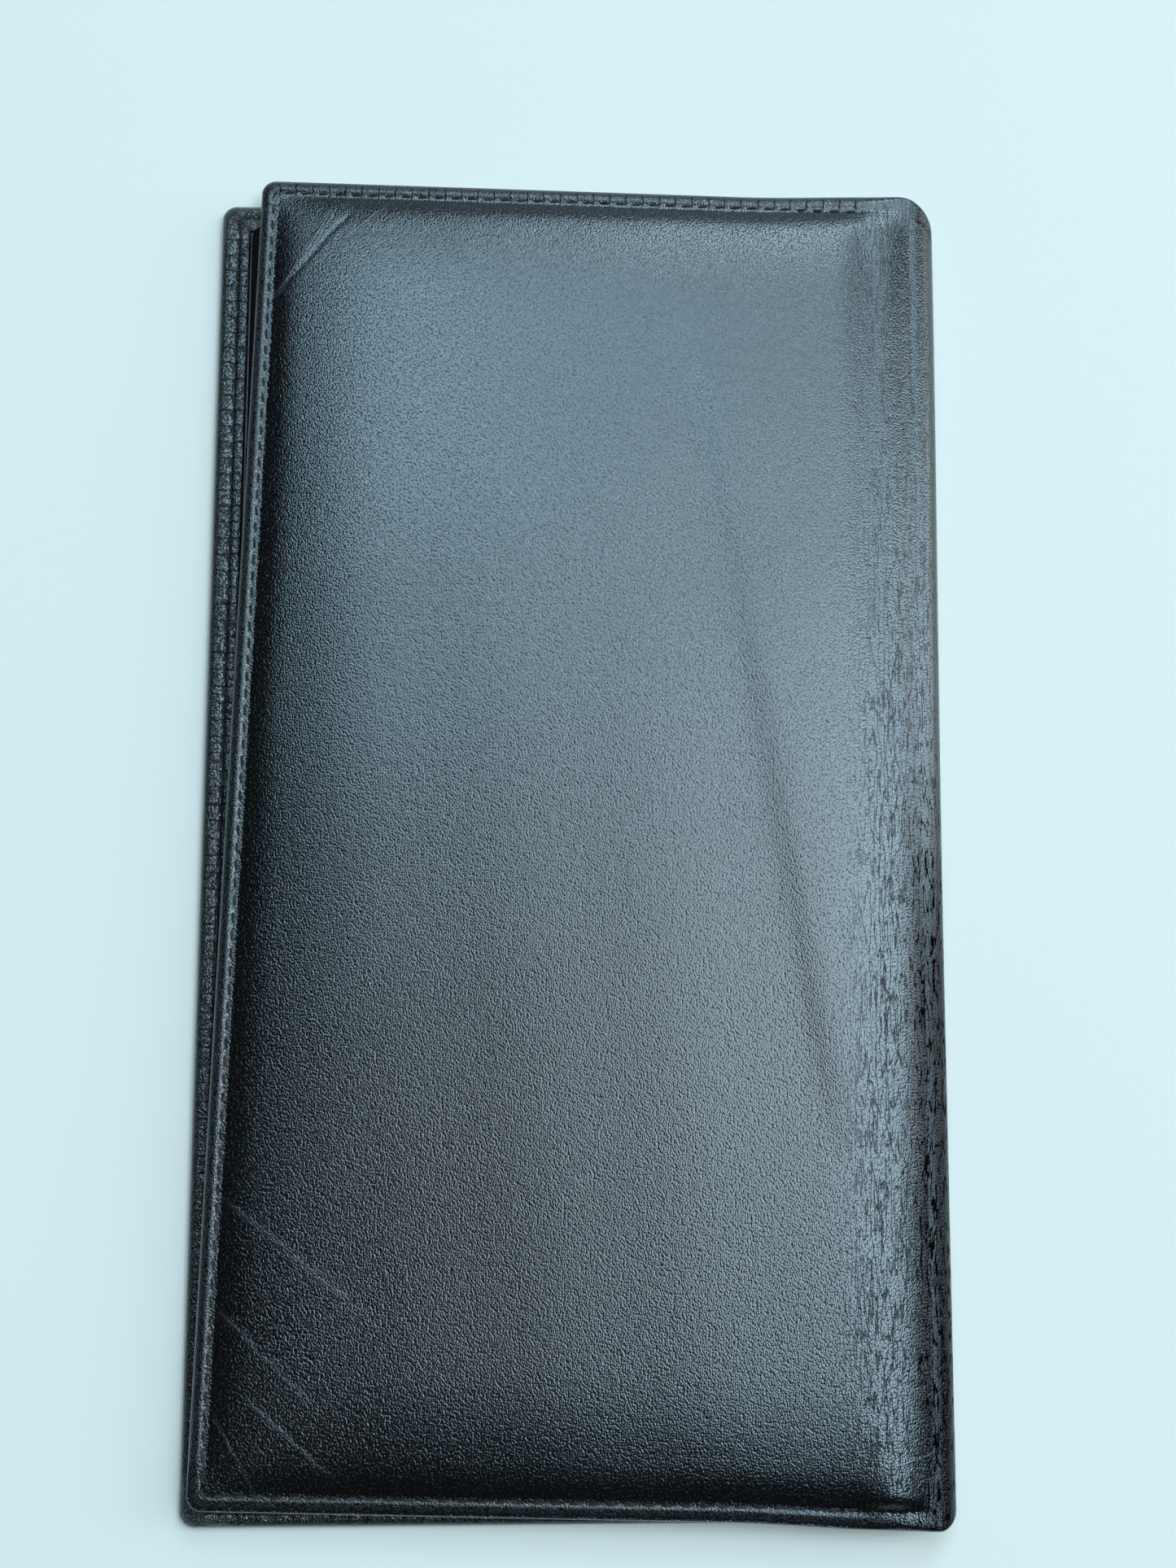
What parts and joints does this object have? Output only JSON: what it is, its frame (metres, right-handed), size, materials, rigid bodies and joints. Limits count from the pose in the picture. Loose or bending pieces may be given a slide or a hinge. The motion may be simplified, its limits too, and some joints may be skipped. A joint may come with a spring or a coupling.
{
  "type": "card holder",
  "caption": "Tall bifold card holder in black leather: padded front cover, leaning fold, shingled card slots on the back page, slip and ticket pockets on the front page.",
  "frame": {"origin": "middle of the closed holder's box, on the surface that its back cover lies on", "axes": "+X towards the fold, +Y up the covers along the height, +Z out of the front cover"},
  "size_m": [0.0996, 0.1799, 0.0079],
  "materials": {
    "outer_leather": "semi-gloss black grained leather, worn",
    "page_leather": "satin black lambskin",
    "lining": "black twill lining",
    "stiffener": "bonded leather board",
    "padding": "grey felt",
    "thread": "black waxed thread"
  },
  "bodies": {
    "back_half": {"back_cover_leather": "outer_leather", "back_stiffener": "stiffener", "back_lining": "lining", "card_base_panel": "page_leather", "card_leaf_1": "page_leather", "card_leaf_2": "page_leather", "card_leaf_3": "page_leather", "card_leaf_4": "page_leather", "card_leaf_5": "page_leather", "pocket_welt_left": "page_leather", "pocket_welt_right": "page_leather", "back_stitching": "thread"},
    "spine": {"spine_leather": "outer_leather", "spine_lining": "lining"},
    "front_half": {"front_cover_leather": "outer_leather", "front_padding": "padding", "front_stiffener": "stiffener", "front_lining": "lining", "slip_pocket_panel": "page_leather", "ticket_pocket_panel": "page_leather", "ticket_pocket_stitching": "thread", "front_stitching": "thread"}
  },
  "joints": [
    {"name": "spine_fold", "type": "hinge", "parent": "back_half", "child": "spine", "pos_m": [0.04781, -0.00118, 0.00086], "axis": [0.0131, 0.9999, 0], "range_deg": [0, 86]},
    {"name": "cover_fold", "type": "hinge", "parent": "spine", "child": "front_half", "pos_m": [0.04781, -0.00118, 0.00502], "axis": [0.0131, 0.9999, 0], "range_deg": [0, 86]}
  ],
  "couplings": [
    {"joint": "spine_fold", "follows": "cover_fold", "ratio": 1}
  ]
}
